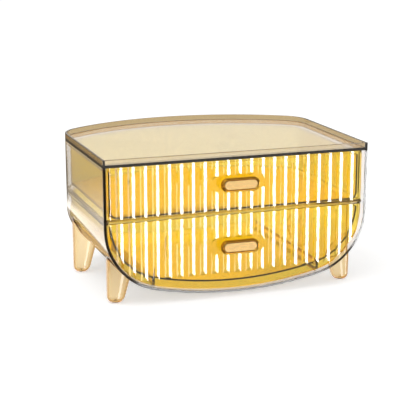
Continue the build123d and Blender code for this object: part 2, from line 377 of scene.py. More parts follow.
# Anodised face, brushed lengthwise: pale and satin
SATIN = PlatedMetal(
    "satin_anodised_aluminium", Slot.SATIN, "#EECB8E", "#EBC688", 0.22, 0.35, 14.0, 0.0006
)
# Bright zinc on small pan-head screws, with the marks of turning
STEEL = PlatedMetal(
    "zinc_plated_steel_screw", Slot.STEEL, "#C9C9CB", "#B4B4B8", 0.25, 0.4, 2.0, 0.002, Grain.INWARDS
)
# Milky pads pressed into the feet
PAD = Silicone("pressed_silicone", Slot.SILICONE, "#D9D4CB", "#CFC8BC")


class Paint:
    """Makes each finish's material once."""

    made: dict[str, Material] = {}

    @classmethod
    def of(cls, finish: Finish) -> Material:
        """Look up a finish's material, and make it the first time.

        Args:
            finish: the finish.

        Returns:
            Its material.
        """
        if finish.name not in cls.made:
            cls.made[finish.name] = finish.material()
        return cls.made[finish.name]


@dataclass(frozen=True)
class Arch:
    """A bowed edge between two straight sides, with round corners, all tangent."""

    half: float
    corner: float
    bow: float

    def inset(self, distance: float) -> "Arch":
        """The parallel edge that lies this far inside."""
        return Arch(self.half - distance, self.corner - distance, self.bow - distance)

    def drop(self, x: float) -> float:
        """Follow the edge away from its middle.

        Args:
            x: the place across.

        Returns:
            How far the edge has fallen back there.
        """
        reach = self.bow - self.corner
        centre = self.half - self.corner
        if abs(x) * reach <= self.bow * centre:
            return self.bow - math.sqrt(self.bow**2 - x**2)
        depth = self.bow - math.sqrt(reach**2 - centre**2)
        return depth - math.sqrt(max(0.0, self.corner**2 - (abs(x) - centre) ** 2))


def quarter_round(steps: int) -> list[tuple[float, float]]:
    """A quarter of a unit circle that rounds a corner, as distances from the corner's two sides."""
    bends = [math.pi / 2 * step / steps for step in range(steps + 1)]
    return [(1 - math.cos(bend), 1 - math.sin(bend)) for bend in bends]


def settle(name: str, form: bmesh.types.BMesh) -> Object:
    """Turn a form into an object with merged points and faces that point outwards.

    Args:
        name: the object's name.
        form: the form, which is used up.

    Returns:
        The object, in the scene, at the origin.
    """
    bmesh.ops.remove_doubles(form, verts=form.verts, dist=MERGE)
    bmesh.ops.dissolve_degenerate(form, edges=form.edges, dist=MERGE)
    bmesh.ops.recalc_face_normals(form, faces=form.faces)
    mesh = bpy.data.meshes.new(name)
    form.to_mesh(mesh)
    form.free()
    return place_in_scene(name, mesh)


def place_in_scene(name: str, data: bpy.types.ID) -> Object:
    """Put a new object in the scene, at the origin.

    Args:
        name: the object's name.
        data: its mesh, lamp or camera.

    Returns:
        The object.
    """
    made = bpy.data.objects.new(name, data)
    bpy.context.scene.collection.objects.link(made)
    return made


def apply_modifiers(piece: Object) -> Object:
    """Turn what a piece's modifiers make into its plain mesh.

    Args:
        piece: the piece.

    Returns:
        The same piece, without modifiers.
    """
    graph = bpy.context.evaluated_depsgraph_get()
    mesh = bpy.data.meshes.new_from_object(piece.evaluated_get(graph), depsgraph=graph)
    piece.modifiers.clear()
    piece.data = mesh
    return piece


def soften(
    piece: Object, round_mm: float = 0.0, segments: int = 2, angle: float = SHARP_ANGLE
) -> Object:
    """Round a piece's edges a little, and shade its curves smooth and its flats flat.

    Args:
        piece: the piece.
        round_mm: the width of the rounded edge, or 0 for none.
        segments: how many faces the rounded edge has.
        angle: the turn from which an edge counts as sharp.

    Returns:
        The same piece, with a plain mesh.
    """
    if round_mm:
        edge = piece.modifiers.new("edge", "BEVEL")
        edge.width = round_mm * MM
        edge.segments = segments
        edge.limit_method = "ANGLE"
        edge.angle_limit = angle
        apply_modifiers(piece)
    piece.data.shade_smooth()
    piece.data.set_sharp_from_angle(angle=angle)
    flats = piece.modifiers.new("flats", "WEIGHTED_NORMAL")
    flats.keep_sharp = True
    return apply_modifiers(piece)


def skin(name: str, rings: Sequence[Ring]) -> Object:
    """Close a skin over rings of as many points each, with a cap on both ends.

    Args:
        name: the object's name.
        rings: the rings, in order.

    Returns:
        The object.
    """
    form = bmesh.new()
    rows = [[form.verts.new(point) for point in ring] for ring in rings]
    count = len(rows[0])
    for low, high in zip(rows, rows[1:]):
        for here in range(count):
            after = (here + 1) % count
            form.faces.new((low[here], low[after], high[after], high[here]))
    form.faces.new(rows[0])
    form.faces.new(rows[-1])
    return settle(name, form)


class Cut(Enum):
    """What happens where two solids overlap."""

    JOIN = "UNION"
    TAKE_AWAY = "DIFFERENCE"


def combine(piece: Object, others: Sequence[Object], cut: Cut) -> Object:
    """Join other solids to a piece, or take them away from it, and remove them.

    Args:
        piece: the piece.
        others: the other solids.
        cut: what happens to them.

    Returns:
        The same piece, with a plain mesh.
    """
    for other in others:
        step = piece.modifiers.new("step", "BOOLEAN")
        step.operation = cut.value
        step.solver = "MANIFOLD"
        step.object = other
    apply_modifiers(piece)
    for other in others:
        bpy.data.objects.remove(other)
    return piece


def dress(piece: Object, finish: Finish, body: Body, *nodes: str) -> Object:
    """Give a piece its material and its body, and hide the nodes that it stands for.

    Args:
        piece: the finished piece.
        finish: its finish.
        body: the body that it moves with.
        nodes: the nodes that it replaces.

    Returns:
        The same piece.
    """
    piece.data.materials.clear()
    piece.data.materials.append(Paint.of(finish))
    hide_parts(*nodes)
    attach(piece, body.value)
    log.info("%s: %d faces for %s", piece.name, len(piece.data.polygons), ", ".join(nodes))
    return piece


def bar(name: str, low: Sequence[float], high: Sequence[float]) -> Object:
    """A straight bar between two corners."""
    corners = [(low[0], low[2]), (high[0], low[2]), (high[0], high[2]), (low[0], high[2])]
    return skin(name, [[Vector((x, y, z)) for x, z in corners] for y in (low[1], high[1])])


@dataclass(frozen=True)
class Trough:
    """A shell with a bowed bottom and a bowed back, open at its top and its front."""

    section: Arch
    plan: Arch
    wall: float
    front: float
    back: float
    bottom: float
    top: float
    slant: float = 0.0

    def ring(self, swing: float, closed: bool = False) -> Ring:
        """One loop through the outside and the inside.

        Args:
            swing: the place across, from -1 at the left side to 1 at the right.
            closed: whether the loop lies in the rim, at the top of a side.

        Returns:
            The loop's points, from the outside's front edge to the inside's.
        """
        points = []
        for depth, front in ((0.0, self.front + self.slant), (self.wall, self.front)):
            x = (self.section.half - depth) * swing
            y = self.back - depth - self.plan.inset(depth).drop(x)
            z = min(self.top, self.bottom + depth + self.section.inset(depth).drop(x))
            low = self.top if closed else z
            points.append([Vector((x, front, low)), Vector((x, y, low)), Vector((x, y, self.top))])
        return points[0] + points[1][::-1]

    def build(self, name: str) -> Object:
        """Make the shell."""
        rings = [self.ring(swing) for swing in SWINGS]
        return skin(name, [self.ring(-1.0, True), *rings, self.ring(1.0, True)])


@dataclass(frozen=True)
class Layout:
    """Sizes that several pieces share: driving ones here, the rest read from the frame."""

    casing_wall: float = 3.0 * MM
    section_corner: float = 72.0 * MM
    section_bow: float = 420.0 * MM
    plan_corner: float = 40.0 * MM
    plan_bow: float = 230.0 * MM
    tray_wall: float = 2.0 * MM
    tray_inset: float = 8.0 * MM
    runner_inset: float = 55.0 * MM
    runner_width: float = 3.0 * MM
    runner_end: float = 45.0 * MM
    flat_bow: float = 1.0e4

    @property
    def half(self) -> float:
        """Half the casing's width."""
        return cad_box("casing")[1].x

    @property
    def section(self) -> Arch:
        """The casing's outside seen from the front."""
        return Arch(self.half, self.section_corner, self.section_bow)

    @property
    def plan(self) -> Arch:
        """The casing's outside seen from above."""
        return Arch(self.half, self.plan_corner, self.plan_bow)

    def outline(self, inset: float, front: float, height: float) -> Ring:
        """The plan's whole outline at one height.

        Args:
            inset: how far it lies inside the casing's.
            front: where it is cut straight at the front.
            height: its height.

        Returns:
            Its points, from the front left corner round the back.
        """
        back = cad_box("casing")[1].y - inset
        arch = self.plan.inset(inset)
        curve = [Vector((arch.half * s, back - arch.drop(arch.half * s), height)) for s in SWINGS]
        return [Vector((-arch.half, front, height)), *curve, Vector((arch.half, front, height))]

    def rail(self, name: str, side: int, front: float, foot: float, head: float) -> Object:
        """A straight bar that guides the lower drawer.

        Args:
            name: the bar's name.
            side: 1 for the right side, -1 for the left.
            front: where it starts.
            foot: its lower height.
            head: its upper height.

        Returns:
            The bar.
        """
        x = self.rail_place(side)
        back = cad_box("casing")[1].y - self.runner_end
        near, far = x - self.runner_width / 2, x + self.runner_width / 2
        return bar(f"{name}_{side}", (near, front, foot), (far, back, head))

    def rail_place(self, side: int) -> float:
        """Where a rail's middle lies across."""
        return side * (self.half - self.runner_inset)


LAYOUT = Layout()


@dataclass(frozen=True)
class Casing:
    """The clear casing with its ledge and runners, and the shelf on the ledge."""

    ledge_width: float = 4.0 * MM
    ledge_height: float = 3.0 * MM
    runner_top: float = 23.95 * MM
    front_slant: float = 0.5 * MM
    edge_mm: float = 0.25

    def build(self) -> Object:
        """Make the shell, with the ledge and the runners fused to it.

        Returns:
            The casing.
        """
        low, high = cad_box("casing")
        shelf = cad_box("middle_shelf")[0]
        wall = LAYOUT.casing_wall
        ends = (low.y, high.y, low.z, high.z)
        trough = Trough(LAYOUT.section, LAYOUT.plan, wall, *ends, self.front_slant)
        shell = soften(trough.build("casing_shell"), self.edge_mm)
        sunk, inner = wall / 2, wall + self.ledge_width
        under = shelf.z - self.ledge_height
        corners = ((sunk, under), (inner, under), (inner, shelf.z), (sunk, shelf.z))
        edges = [LAYOUT.outline(inset, shelf.y, height) for inset, height in corners]
        fused = [skin("ledge", [list(points) for points in zip(*edges)])]
        for side in SIDES:
            foot = low.z + LAYOUT.section.drop(LAYOUT.rail_place(side)) + sunk
            fused.append(LAYOUT.rail("runner", side, shelf.y, foot, self.runner_top))
        return soften(combine(shell, fused, Cut.JOIN))

    def shelf(self) -> Object:
        """Make the plate that lies on the ledge.

        Returns:
            The shelf.
        """
        low, high = cad_box("middle_shelf")
        inset = LAYOUT.half - high.x
        plate = skin("shelf_plate", [LAYOUT.outline(inset, low.y, z) for z in (low.z, high.z)])
        return soften(plate, self.edge_mm)

    def assemble(self) -> None:
        """Build and dress the casing and its shelf."""
        dress(self.build(), CLEAR, Body.CASING, "casing")
        dress(self.shelf(), SHEET, Body.CASING, "middle_shelf")


@dataclass(frozen=True)
class TopTray:
    """The tinted plate on top, with a lip round it and a locating rim below."""

    plate: float = 3.0 * MM
    lip: float = 2.6 * MM
    lip_round: float = 0.65 * MM
    round_steps: int = 5
    rim: float = 2.0 * MM
    rim_gap: float = 0.3 * MM
    edge_mm: float = 0.12

    def build(self) -> Object:
        """Make the tray as one skin from the middle of its underside to the middle of its plate.

        Returns:
            The tray.
        """
        low, high = cad_box("top_tray")
        seam = cad_box("casing")[1].z
        rim_front = cad_box("middle_shelf")[0].y
        outer = LAYOUT.casing_wall + self.rim_gap
        inner = outer + self.rim
        edges = [
            (inner, rim_front + self.rim, seam),
            (inner, rim_front + self.rim, low.z),
            (outer, rim_front, low.z),
            (outer, rim_front, seam),
            (0.0, low.y, seam),
        ]
        crest = quarter_round(self.round_steps)
        shoulder = self.lip / self.lip_round
        for across, fall in crest + [(shoulder - across, fall) for across, fall in crest[::-1]]:
            inset = across * self.lip_round
            edges.append((inset, low.y + inset, high.z - fall * self.lip_round))
        edges.append((self.lip, low.y + self.lip, seam + self.plate))
        rings = [LAYOUT.outline(*edge) for edge in edges]
        return soften(skin("top_tray_moulding", rings), self.edge_mm)

    def assemble(self) -> None:
        """Build and dress the tray."""
        dress(self.build(), CHAMPAGNE, Body.CASING, "top_tray")


class RowTree:
    """A Geometry Nodes tree with named inputs, which rows up copies of one form."""

    NAME = "row"
    NUMBERS: tuple[str, ...] = ()
    OBJECTS: tuple[str, ...] = ()

    def __init__(self) -> None:
        """Make the tree with its named inputs."""
        self.tree = bpy.data.node_groups.new(self.NAME, "GeometryNodeTree")
        face = self.tree.interface
        kinds = {"Geometry": "Geometry", "Count": "Int", "Start": "Float", "Pitch": "Float"}
        kinds |= {name: "Float" for name in self.NUMBERS} | {name: "Object" for name in self.OBJECTS}
        kinds["Finish"] = "Material"
        self.keys = {
            name: face.new_socket(name, in_out="INPUT", socket_type=f"NodeSocket{kind}")
            for name, kind in kinds.items()
        }
        face.new_socket("Geometry", in_out="OUTPUT", socket_type="NodeSocketGeometry")
        self.given = add_node(self.tree, "NodeGroupInput").outputs
        coat = {"Geometry": self.wire(), "Material": self.given["Finish"]}
        coated = add_node(self.tree, "GeometryNodeSetMaterial", coat)
        add_node(self.tree, "NodeGroupOutput", {"Geometry": coated.outputs["Geometry"]})

    def wire(self) -> NodeSocket:
        """Link the nodes that make the form."""
        raise NotImplementedError

    def held(self, name: str) -> NodeSocket:
        """The geometry of one of the objects that the tree is given."""
        info = add_node(self.tree, "GeometryNodeObjectInfo", {"Object": self.given[name]})
        return info.outputs["Geometry"]

    def row(self, form: NodeSocket) -> NodeSocket:
        """Link the nodes that row up copies of a form.

        Args:
            form: the form's geometry.

        Returns:
            The copies, made real.
        """
        first = add_node(self.tree, "ShaderNodeCombineXYZ", {"X": self.given["Start"]}).outputs[0]
        step = add_node(self.tree, "ShaderNodeCombineXYZ", {"X": self.given["Pitch"]}).outputs[0]
        row = {"Count": self.given["Count"], "Start Location": first, "Offset": step}
        points = add_node(self.tree, "GeometryNodeMeshLine", row)
        many = {"Points": points.outputs["Mesh"], "Instance": form}
        copies = add_node(self.tree, "GeometryNodeInstanceOnPoints", many).outputs["Instances"]
        real = add_node(self.tree, "GeometryNodeRealizeInstances", {"Geometry": copies})
        return real.outputs["Geometry"]

    def apply(self, piece: Object, values: dict[str, object]) -> Object:
        """Run the tree on a piece.

        Args:
            piece: the piece.
            values: the tree's inputs by name.

        Returns:
            The same object, with the result as its plain mesh.
        """
        nodes = piece.modifiers.new(self.NAME, "NODES")
        nodes.node_group = self.tree
        for name, value in values.items():
            nodes[self.keys[name].identifier] = value
        return apply_modifiers(piece)


class ScrewTree(RowTree):
    """Rows up the screws of a pull."""

    NAME = "pull_screws"
    OBJECTS = ("Screw",)

    def wire(self) -> NodeSocket:
        """Link the nodes: a row of the given screw."""
        return self.row(self.held("Screw"))


class FluteTree(RowTree):
    """Rows up flutes and cuts them into a drawer front's plate."""

    NAME = "fluted_front"
    NUMBERS = ("Mouth", "Floor", "Span", "Middle", "Bottom", "Height")
    OBJECTS = ("Zone", "Boss")

    def wire(self) -> NodeSocket:
        """Link the nodes: one groove's form, a row of it, its trimming, then the cut.

        Returns:
            The fluted plate.
        """
        tree, given = self.tree, self.given
        shape = {
            "Bottom Width": given["Mouth"],
            "Top Width": given["Floor"],
            "Offset": 0.0,
            "Height": given["Span"],
        }
        section = add_node(tree, "GeometryNodeCurvePrimitiveQuadrilateral", shape, mode="TRAPEZOID")
        base = add_node(tree, "GeometryNodeFillCurve", {"Curve": section.outputs["Curve"]})
        up = add_node(tree, "ShaderNodeCombineXYZ", {"Z": 1.0})
        raised = {
            "Mesh": base.outputs["Mesh"],
            "Offset": up.outputs[0],
            "Offset Scale": given["Height"],
            "Individual": False,
        }
        tall = add_node(tree, "GeometryNodeExtrudeMesh", raised, mode="FACES")
        turned = add_node(tree, "GeometryNodeFlipFaces", {"Mesh": base.outputs["Mesh"]})
        shell = add_node(tree, "GeometryNodeJoinGeometry", {0: tall.outputs["Mesh"]})
        connect(tree, shell, {0: turned.outputs["Mesh"]})
        closed = {"Geometry": shell.outputs[0], "Distance": MERGE}
        groove = add_node(tree, "GeometryNodeMergeByDistance", closed)
        spot = add_node(tree, "ShaderNodeCombineXYZ", {"Y": given["Middle"], "Z": given["Bottom"]})
        moved = {"Geometry": groove.outputs["Geometry"], "Translation": spot.outputs[0]}
        placed = add_node(tree, "GeometryNodeTransform", moved)
        grooves = self.row(placed.outputs["Geometry"])
        kind = "GeometryNodeMeshBoolean"
        trimmed = add_node(tree, kind, operation="INTERSECT", solver="MANIFOLD")
        for source in (grooves, self.held("Zone")):
            connect(tree, trimmed, {"Mesh 2": source})
        around = {"Mesh 1": trimmed.outputs["Mesh"], "Mesh 2": self.held("Boss")}
        spared = add_node(tree, kind, around, operation="DIFFERENCE", solver="MANIFOLD")
        carved = {"Mesh 1": given["Geometry"], "Mesh 2": spared.outputs["Mesh"]}
        whole = add_node(tree, kind, carved, operation="DIFFERENCE", solver="MANIFOLD")
        plain = add_node(tree, "GeometryNodeRealizeInstances", {"Geometry": whole.outputs["Mesh"]})
        return plain.outputs["Geometry"]


def disc(x: float, y: float, z: float, radius: float, sides: int = 40) -> Ring:
    """A round ring that faces the front."""
    turns = [math.tau * step / sides for step in range(sides)]
    return [Vector((x + radius * math.cos(turn), y, z + radius * math.sin(turn))) for turn in turns]


def pill(width: float, height: float, y: float, z: float, steps: int = 20) -> Ring:
    """An upright pill-shaped ring.

    Args:
        width: its whole width.
        height: its whole height.
        y: its depth.
        z: the height of its middle.
        steps: how many parts each round end has.

    Returns:
        Its points.
    """
    reach = (width - height) / 2
    radius = height / 2
    points = []
    for side, turn in ((1, -90), (-1, 90)):
        for step in range(steps + 1):
            angle = math.radians(turn + 180 * step / steps)
            x = side * reach + radius * math.cos(angle)
            points.append(Vector((x, y, z + radius * math.sin(angle))))
    return points


@dataclass(frozen=True)
class Drawer:
    """One drawer: a fluted front, a tray, and a pull with its face and screws."""

    name: str
    body: Body
    bowed: bool
    flute_foot: float
    flute_run_out: float
    flute_pitch: float = 13.2 * MM
    flute_width: float = 7.8 * MM
    flute_floor: float = 2.2 * MM
    flute_depth: float = 1.7 * MM
    flute_edge_mm: float = 0.25
    boss_width: float = 62.0 * MM
    boss_height: float = 18.0 * MM
    side_gap: float = 4.0 * MM
    tray_corner: float = 8.0 * MM
    tray_edge_mm: float = 0.4
    skid_depth: float = 4.0 * MM
    bezel_thickness: float = 5.0 * MM
    bezel_round: float = 1.6 * MM
    bezel_steps: int = 6
    bezel_back_edge: float = 0.25 * MM
    pocket_depth: float = 2.0 * MM
    pocket_slope: float = 1.2 * MM
    pocket_gap: float = 0.1 * MM
    face_bevel: float = 0.4 * MM
    # The bevel's points as shares of its size: inwards from the face's side, and behind its front
    face_profile: tuple[tuple[float, float], ...] = ((0.0, 1.0), (0.5, 1 / 3), (1.2, 0.0))
    post_spacing: float = 26.0 * MM
    post_radius: float = 3.5 * MM
    post_gap: float = 0.02 * MM
    post_sunk: float = 1.0 * MM
    screw_radius: float = 1.5 * MM
    thread_pitch: float = 0.8 * MM
    thread_depth: float = 0.25 * MM
    # One turn of the thread: places along it, and how much of its depth is missing there
    thread_profile: tuple[tuple[float, float], ...] = ((0.35, 0.0), (0.65, 0.0), (1.0, 1.0))
    head_radius: float = 3.2 * MM
    head_bevel: float = 0.9 * MM
    head_steps: int = 5
    cross_length: float = 3.4 * MM
    cross_width: float = 0.8 * MM
    cross_depth: float = 1.0 * MM

    def node(self, piece: str) -> str:
        """The name of one of this drawer's nodes."""
        return f"{self.name}_{piece}"

    @property
    def pull_height(self) -> float:
        """The height of the pull's middle."""
        low, high = cad_box(self.node("pull_face"))
        return (low.z + high.z) / 2

    def outline(self, y: float) -> Ring:
        """Trace the front's outline.

        Args:
            y: the depth at which it lies.

        Returns:
            Its points, from the top right corner.
        """
        low, high = cad_box(self.node("drawer_front"))
        half = high.x
        corners = [Vector((half, y, high.z)), Vector((-half, y, high.z))]
        if not self.bowed:
            return corners + [Vector((-half, y, low.z)), Vector((half, y, low.z))]
        arch = LAYOUT.section.inset(self.side_gap)
        return corners + [Vector((half * s, y, low.z + arch.drop(half * s))) for s in SWINGS]

    def front(self, tree: FluteTree) -> Object:
        """Make the front: a plate with flutes, left plain round the pull.

        Args:
            tree: the tree that cuts the flutes.

        Returns:
            The front.
        """
        low, high = cad_box(self.node("drawer_front"))
        plate = skin(self.node("front_moulding"), [self.outline(y) for y in (low.y, high.y)])
        depth, pitch = self.flute_depth, self.flute_pitch
        slope = self.flute_run_out / depth
        near, far = low.y - depth, low.y + 2 * depth
        foot = low.z + self.flute_foot
        head = high.z + pitch
        profile = [
            (near, foot + (near - low.y) * slope),
            (far, foot + (far - low.y) * slope),
            (far, head),
            (near, head),
        ]
        ends = (low.x - pitch, high.x + pitch)
        zone = skin("zone", [[Vector((x, y, z)) for y, z in profile] for x in ends])
        z = self.pull_height
        boss = skin("boss", [pill(self.boss_width, self.boss_height, y, z) for y in (near, far)])
        count = 2 * int(high.x / pitch) + 1
        # The groove's form stands out of the front by half its depth, and widens on to there
        over = depth / 2
        widening = (self.flute_width - self.flute_floor) * over / depth
        values = {
            "Pitch": pitch,
            "Start": -(count - 1) / 2 * pitch,
            "Mouth": self.flute_width + widening,
            "Floor": self.flute_floor,
            "Span": depth + over,
            "Middle": low.y + (depth - over) / 2,
            "Bottom": low.z - pitch,
            "Height": high.z - low.z + 3 * pitch,
            "Count": count,
            "Zone": zone,
            "Boss": boss,
            "Finish": Paint.of(AMBER),
        }
        tree.apply(plate, values)
        for helper in (zone, boss):
            bpy.data.objects.remove(helper)
        return soften(plate, self.flute_edge_mm, angle=FLUTE_ANGLE)

    def tray(self) -> Object:
        """Make the trough behind the front, with skids below where the bottom is bowed.

        Returns:
            The tray.
        """
        low, high = cad_box(self.node("drawer_tray"))
        plan = LAYOUT.plan.inset(LAYOUT.tray_inset)
        section = LAYOUT.section.inset(LAYOUT.tray_inset)
        if not self.bowed:
            section = Arch(plan.half, self.tray_corner, LAYOUT.flat_bow)
        trough = Trough(section, plan, LAYOUT.tray_wall, low.y, high.y, low.z, high.z)
        shell = soften(trough.build(self.node("tray_moulding")), self.tray_edge_mm)
        if not self.bowed:
            return shell
        skids = []
        for side in SIDES:
            under = low.z + section.drop(LAYOUT.rail_place(side))
            heights = (under - self.skid_depth, under + trough.wall / 2)
            skids.append(LAYOUT.rail("skid", side, low.y, *heights))
        return soften(combine(shell, skids, Cut.JOIN))

    def pull(self) -> Object:
        """Make the bezel: a pill with a rounded rim that slopes into the face's pocket, and two posts.

        Returns:
            The pull without its face.
        """
        low, high = cad_box(self.node("pull"))
        back = cad_box(self.node("drawer_front"))[0].y
        face_low, face_high = cad_box(self.node("pull_face"))
        width, height, z = high.x - low.x, high.z - low.z, self.pull_height
        rear = low.y + self.bezel_thickness
        gap = 2 * self.pocket_gap
        pocket = (face_high.x - face_low.x + gap, face_high.z - face_low.z + gap)
        edge = self.bezel_back_edge
        rings = [
            pill(width - 2 * edge, height - 2 * edge, rear, z),
            pill(width, height, rear - edge, z),
        ]
        for across, fall in quarter_round(self.bezel_steps):
            less = 2 * self.bezel_round * across
            rings.append(pill(width - less, height - less, low.y + self.bezel_round * fall, z))
        for depth in (self.pocket_slope, self.pocket_depth):
            rings.append(pill(*pocket, low.y + depth, z))
        bezel = skin(self.node("pull_bezel"), rings)
        posts = []
        for side in SIDES:
            x = side * self.post_spacing / 2
            ends = (rear - self.post_sunk, back - self.post_gap)
            posts.append(skin(f"post_{side}", [disc(x, y, z, self.post_radius) for y in ends]))
        return soften(combine(bezel, posts, Cut.JOIN))

    def face(self) -> Object:
        """Make the satin face in the bezel's pocket.

        Returns:
            The face.
        """
        low, high = cad_box(self.node("pull_face"))
        width, height, z = high.x - low.x, high.z - low.z, self.pull_height
        rings = [pill(width, height, high.y, z)]
        for across, behind in self.face_profile:
            less = 2 * across * self.face_bevel
            rings.append(pill(width - less, height - less, low.y + behind * self.face_bevel, z))
        return soften(skin(self.node("pull_inlay"), rings))

    def screws(self, tree: ScrewTree) -> Object:
        """Make the two screws behind the pull, each with a thread, a round head and a cross in it.

        Args:
            tree: the tree that rows them up.

        Returns:
            The screws, as one piece.
        """
        low, high = cad_box(self.node("pull_screws"))
        seat = cad_box(self.node("drawer_front"))[1].y
        z = self.pull_height
        turns = round((seat - low.y) / self.thread_pitch)
        rings = [disc(0.0, low.y, z, self.screw_radius - self.thread_depth)]
        for turn in range(turns):
            for part, missing in self.thread_profile:
                y = low.y + (turn + part) * (seat - low.y) / turns
                rings.append(disc(0.0, y, z, self.screw_radius - missing * self.thread_depth))
        rings.append(disc(0.0, seat, z, self.head_radius))
        for across, fall in quarter_round(self.head_steps):
            radius = self.head_radius - self.head_bevel * across
            rings.append(disc(0.0, high.y - self.head_bevel * fall, z, radius))
        screw = skin("screw", rings)
        long, thin = self.cross_length / 2, self.cross_width / 2
        floor = high.y - self.cross_depth
        slots = [
            bar(f"slot_{across}", (-across, floor, z - up), (across, high.y + thin, z + up))
            for across, up in ((long, thin), (thin, long))
        ]
        combine(screw, slots, Cut.TAKE_AWAY)
        host = place_in_scene(self.node("pull_screw_pair"), bpy.data.meshes.new("host"))
        values = {
            "Count": 2,
            "Start": -self.post_spacing / 2,
            "Pitch": self.post_spacing,
            "Screw": screw,
            "Finish": Paint.of(STEEL),
        }
        tree.apply(host, values)
        bpy.data.objects.remove(screw)
        return soften(host)

    def assemble(self, flutes: FluteTree, screws: ScrewTree) -> Object:
        """Build and dress the drawer.

        Args:
            flutes: the tree that flutes the front.
            screws: the tree that rows up the screws.

        Returns:
            The front.
        """
        front = dress(self.front(flutes), AMBER, self.body, self.node("drawer_front"))
        dress(self.tray(), AMBER, self.body, self.node("drawer_tray"))
        dress(self.pull(), GOLD, self.body, self.node("pull"))
        dress(self.face(), SATIN, self.body, self.node("pull_face"))
        dress(self.screws(screws), STEEL, self.body, self.node("pull_screws"))
        return front


@dataclass(frozen=True)
class Legs:
    """Four tapered, hollow legs with an upright outer side and a round foot."""

    foot_radius: float = 8.8 * MM
    foot_round: float = 6.4 * MM
    flare: float = 0.14
    wall: float = 1.7 * MM
    mouth: float = 1.0 * MM
    floor: float = 1.9 * MM
    gap: float = 0.1 * MM
    sides: int = 64
    foot_steps: int = 7
    halvings: int = 40
    # Where the rings lie: up the side, and then from the rim towards the middle of the top
    side_shares: tuple[float, ...] = (0.3, 0.6, 0.85, 0.97, 1.0)
    top_shares: tuple[float, ...] = (0.93, 0.6, 0.3)

    def point(self, place: Vector, out: int, angle: float, height: float, less: float) -> Vector:
        """A point of a leg's side.

        Args:
            place: the foot's middle.
            out: 1 on the right side, -1 on the left.
            angle: the angle round the leg.
            height: the height above the ground.
            less: how far inside the full radius it lies.

        Returns:
            The point.
        """
        radius = self.foot_radius + self.flare * height - less
        x = place.x - out * self.flare * height + radius * math.cos(angle)
        return Vector((x, place.y + radius * math.sin(angle), height))

    def under_casing(self, x: float, inset: float) -> float:
        """The height of a leg's top at one place across, or a little more for the hollow, which is open."""
        over = self.mouth if inset else 0.0
        return cad_box("casing")[0].z + LAYOUT.section.drop(x) - self.gap + over

    def top(self, place: Vector, out: int, angle: float, inset: float) -> float:
        """Find by halving the height at which a leg's side meets its top.

        Args:
            place: the foot's middle.
            out: 1 on the right side, -1 on the left.
            angle: the angle round the leg.
            inset: how far inside the outside the side lies.

        Returns:
            The height.
        """
        under, over = self.foot_round, LAYOUT.section_corner
        for _ in range(self.halvings):
            middle = (under + over) / 2
            point = self.point(place, out, angle, middle, inset)
            if point.z < self.under_casing(point.x, inset):
                under = middle
            else:
                over = middle
        return under

    def form(self, name: str, leg: str, inset: float) -> Object:
        """Make a leg's outside, or the hollow that lies inset from it.

        Args:
            name: the object's name.
            leg: the leg's node.
            inset: how far inside the outside it lies.

        Returns:
            The foot's round, the tapered side and a top that follows the casing, as one closed skin.
        """
        low, high = cad_box(leg.replace("leg", "foot_pad"))
        place = (low + high) / 2
        floor = cad_box(leg)[0].z + (self.floor if inset else 0.0)
        out = 1 if place.x > 0 else -1
        angles = [math.tau * step / self.sides for step in range(self.sides)]
        bend = self.foot_round - inset
        rings = []
        for rise, across in quarter_round(self.foot_steps):
            height, less = floor + bend * rise, inset + bend * across
            rings.append([self.point(place, out, angle, height, less) for angle in angles])
        start = floor + bend
        tops = [self.top(place, out, angle, inset) for angle in angles]
        for share in self.side_shares:
            heights = [start + share * (top - start) for top in tops]
            rings.append([self.point(place, out, a, h, inset) for a, h in zip(angles, heights)])
        rim = rings[-1]
        middle = sum(rim, Vector()) / len(rim)
        for share in self.top_shares:
            loop = [middle.lerp(point, share) for point in rim]
            rings.append([Vector((p.x, p.y, self.under_casing(p.x, inset))) for p in loop])
        return skin(name, rings)

    def build(self, name: str) -> Object:
        """Make one leg: its outside less its hollow."""
        hollow = self.form("hollow", name, self.wall)
        return soften(combine(self.form(f"{name}_moulding", name, 0.0), [hollow], Cut.TAKE_AWAY))

    def assemble(self) -> None:
        """Build and dress the legs."""
        for end in ("front", "back"):
            for side in ("left", "right"):
                name = f"leg_{end}_{side}"
                dress(self.build(name), HONEY, Body.CASING, name)


@dataclass(frozen=True)
class Card:
    """A bright card in the room, seen only in reflections, with its sides as angles from the object."""

    left_deg: float
    right_deg: float
    low_deg: float
    high_deg: float
    level: float
    soft_deg: float = 2.0

    def wire(self, tree: NodeTree, azimuth: NodeSocket, rise: NodeSocket) -> NodeSocket:
        """Add the nodes that light the card.

        Args:
            tree: the world's tree.
            azimuth: the direction's angle from the front, towards the right.
            rise: its angle above the horizon.

        Returns:
            The card's level inside it and 0 outside, with soft sides.
        """
        sides = (
            (azimuth, math.radians(self.left_deg), 1),
            (azimuth, math.radians(self.right_deg), -1),
            (rise, math.radians(self.low_deg), 1),
            (rise, math.radians(self.high_deg), -1),
        )
        return window(tree, sides, math.radians(self.soft_deg), self.level)


CARDS = (
    # White wall all round, which the top tray mirrors; the ceiling is dim and darkens the pulls' edges
    Card(-200.0, 200.0, 5.0, 40.0, 0.66),
    # Low white card behind, on the left, which the lower part of the left side mirrors
    Card(-178.0, -140.0, -95.0, -14.0, 1.4),
    # Pale front, which the pulls mirror
    Card(6.0, 34.0, -28.0, 0.0, 0.75),
    # White card on the left: a soft gleam on the legs and the pulls
    Card(-52.0, -34.0, -23.0, -6.0, 1.5),
    # Weak strip on the right: thin lines on the flutes' right sides
    Card(72.0, 92.0, -26.0, -4.0, 4.0),
    # Lamps that the slanted front edge of the casing mirrors, on the right and below
    Card(41.0, 52.0, -24.0, -5.0, 12.0),
    Card(8.0, 38.0, -42.0, -31.0, 6.0),
)


